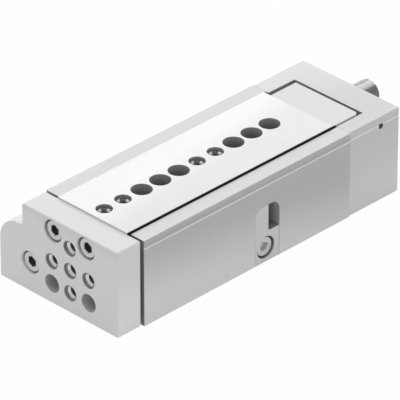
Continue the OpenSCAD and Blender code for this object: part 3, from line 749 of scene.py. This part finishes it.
class SLIDE_OT_rear_stop(bpy.types.Operator):
    """Threaded rear stop sleeve"""
    bl_idname = "slide.rear_stop"
    bl_label = "Rear stop"

    def execute(self, context):
        low, high = corners("rear_stop")
        middle = (low + high) / 2
        outer = (high.z - low.z) / 2
        depth, pitch = 0.1, 0.75
        sleeve = joined_copy("rear_stop", "rear_stop_sleeve")
        bpy.ops.object.mode_set(mode="EDIT")
        bpy.ops.mesh.select_all(action="SELECT")
        bpy.ops.transform.resize(value=(1, 1 - depth / outer, 1 - depth / outer),
                                 center_override=middle * MM)
        bpy.ops.object.mode_set(mode="OBJECT")
        ease_edges(sleeve, FINE_EDGE, lambda a, b: max(a.x, b.x) < low.x + NEAR)
        clean_shading(sleeve)
        # The turns start behind the bare end and stop short of the cap
        turns = int((corners("end_cap")[0].x - low.x - 1.6) / pitch) + 1
        thread = coil("rear_stop_thread", (low.x + 1.1, middle.y, middle.z), (1, 0, 0), turns,
                      pitch, outer - depth - THREAD_ROOT, depth + THREAD_ROOT, steps=48)
        piece = together("rear_stop_sleeve", [sleeve, thread])
        # The rear stop's finish carries a painted highlight along its upper side
        finish(piece, "rear_stop", "dark_steel", "rear_stop")
        return {"FINISHED"}


class SLIDE_OT_threads(bpy.types.Operator):
    """Cut threads in the tapped holes of the table and the yoke"""
    bl_idname = "slide.threads"
    bl_label = "Threads"

    def execute(self, context):
        table_top = corners("table")[1].z
        yoke_back = corners("yoke")[0].x
        for name, axis, starts in (
                ("table_threads", (0, 0, 1), [(x, 0, table_top - 12) for x in TABLE_TAPS]),
                ("yoke_threads", (1, 0, 0), [(yoke_back + 0.5, y, z) for y, z in TAPS])):
            pieces = [coil(f"thread_{i}", start, axis, TAP_TURNS, TAP_PITCH,
                           TAP_RADIUS + THREAD_ROOT, -TAP_HEIGHT)
                      for i, start in enumerate(starts)]
            # The threads take the painted shade of deep holes
            finish(together(name, pieces), "carriage", "hole_shade")
        return {"FINISHED"}


def seen_rays(tree):
    """1 for rays from the camera and a quarter for those off a gloss, which see less white."""
    path = tree.nodes.new("ShaderNodeLightPath")
    seen = tree.nodes.new("ShaderNodeMath")
    seen.operation = "MULTIPLY_ADD"
    seen.use_clamp = True
    tree.links.new(path.outputs["Is Glossy Ray"], seen.inputs[0])
    seen.inputs[1].default_value = 0.25
    tree.links.new(path.outputs["Is Camera Ray"], seen.inputs[2])
    return seen.outputs[0]


def lay_floor(colour):
    """A pale floor, which also glows: much for the camera and a little for the part."""
    bpy.ops.object.select_all(action="DESELECT")
    bpy.ops.mesh.primitive_plane_add(size=6, location=(0, 0, -0.0002))
    floor = bpy.context.object
    floor.name = "floor"
    surface = Surface("floor_paper")
    surface.set(Roughness=0.9)
    grain = surface.grain(surface.coords, 60)
    surface.join(surface.tinted(grain, shade(colour, 0.99), shade(colour, 1.01)),
                 surface.shader.inputs["Base Color"])
    glow = surface.node("ShaderNodeEmission")
    blend = surface.node("ShaderNodeMixShader")
    share = surface.node("ShaderNodeMath", operation="MULTIPLY_ADD")
    surface.join(seen_rays(surface.tree), share.inputs[0])
    share.inputs[1].default_value = 0.69
    share.inputs[2].default_value = 0.28
    surface.join(share.outputs[0], blend.inputs["Fac"])
    surface.join(surface.shader.outputs["BSDF"], blend.inputs[1])
    surface.join(glow.outputs["Emission"], blend.inputs[2])
    surface.join(blend.outputs["Shader"], surface.output.inputs["Surface"])
    floor.data.materials.append(surface.material)


def light_world(strength):
    """A world that is white for the camera and a plain glow of a given strength for the part."""
    world = bpy.data.worlds.new("studio")
    bpy.context.scene.world = world
    world.use_nodes = True
    tree = world.node_tree
    tree.nodes.clear()
    out = tree.nodes.new("ShaderNodeOutputWorld")
    plain = tree.nodes.new("ShaderNodeBackground")
    plain.inputs["Color"].default_value = (1, 1, 1, 1)
    plain.inputs["Strength"].default_value = strength
    white = tree.nodes.new("ShaderNodeBackground")
    white.inputs["Color"].default_value = (1, 1, 1, 1)
    mix = tree.nodes.new("ShaderNodeMixShader")
    tree.links.new(seen_rays(tree), mix.inputs["Fac"])
    tree.links.new(plain.outputs[0], mix.inputs[1])
    tree.links.new(white.outputs[0], mix.inputs[2])
    tree.links.new(mix.outputs[0], out.inputs["Surface"])


def hang_lamp(name, place, size, power):
    """A square-edged lamp that faces the part; its place and size are in m."""
    bpy.ops.object.light_add(type="AREA", location=place)
    lamp = bpy.context.object
    lamp.name = name
    lamp.data.shape = "RECTANGLE"
    lamp.data.size, lamp.data.size_y = size
    lamp.data.energy = power
    lamp.rotation_euler = Vector(place).to_track_quat("Z", "Y").to_euler()


def place_camera():
    camera = bpy.data.objects.new("camera", bpy.data.cameras.new("camera"))
    bpy.context.scene.collection.objects.link(camera)
    camera.location = CAMERA_PLACE
    camera.rotation_euler = [math.radians(angle) for angle in CAMERA_TURN]
    camera.data.lens = CAMERA_LENS
    camera.data.sensor_width = CAMERA_SENSOR
    camera.data.clip_end = 20
    bpy.context.scene.camera = camera


class SLIDE_OT_stage(bpy.types.Operator):
    """Sets the floor, the lamps and the camera"""
    bl_idname = "slide.stage"
    bl_label = "Stage"

    def execute(self, context):
        look = context.scene.slide_look
        context.scene.view_settings.view_transform = "Standard"
        lay_floor(look.floor)
        light_world(look.ambient)
        hang_lamp("overhead", (0, 0, 1.6), (1.8, 1.8), look.lamp)
        hang_lamp("backlight", (-1.5, -1.7, 0.9), (1.8, 0.7), look.backlight)
        place_camera()
        return {"FINISHED"}


class SLIDE_PT_panel(bpy.types.Panel):
    """Lists the steps that dress the slide table"""
    bl_label = "Slide table"
    bl_idname = "SLIDE_PT_panel"
    bl_space_type = "VIEW_3D"
    bl_region_type = "UI"
    bl_category = "Slide table"

    def draw(self, context):
        for step in STEPS:
            self.layout.operator(step.bl_idname)


STEPS = (SLIDE_OT_finishes, SLIDE_OT_housing, SLIDE_OT_cap, SLIDE_OT_table, SLIDE_OT_end_plate,
         SLIDE_OT_yoke, SLIDE_OT_stop_block, SLIDE_OT_main_screws, SLIDE_OT_small_screws,
         SLIDE_OT_rear_stop, SLIDE_OT_threads, SLIDE_OT_stage)
CLASSES = (SlideTableLook, *STEPS, SLIDE_PT_panel)


def register():
    for each in CLASSES:
        bpy.utils.register_class(each)
    bpy.types.Scene.slide_look = bpy.props.PointerProperty(type=SlideTableLook)


def unregister():
    del bpy.types.Scene.slide_look
    for each in reversed(CLASSES):
        bpy.utils.unregister_class(each)


def main():
    register()
    for step in STEPS:
        group, call = step.bl_idname.split(".")
        getattr(getattr(bpy.ops, group), call)()


if __name__ == "__main__":
    main()
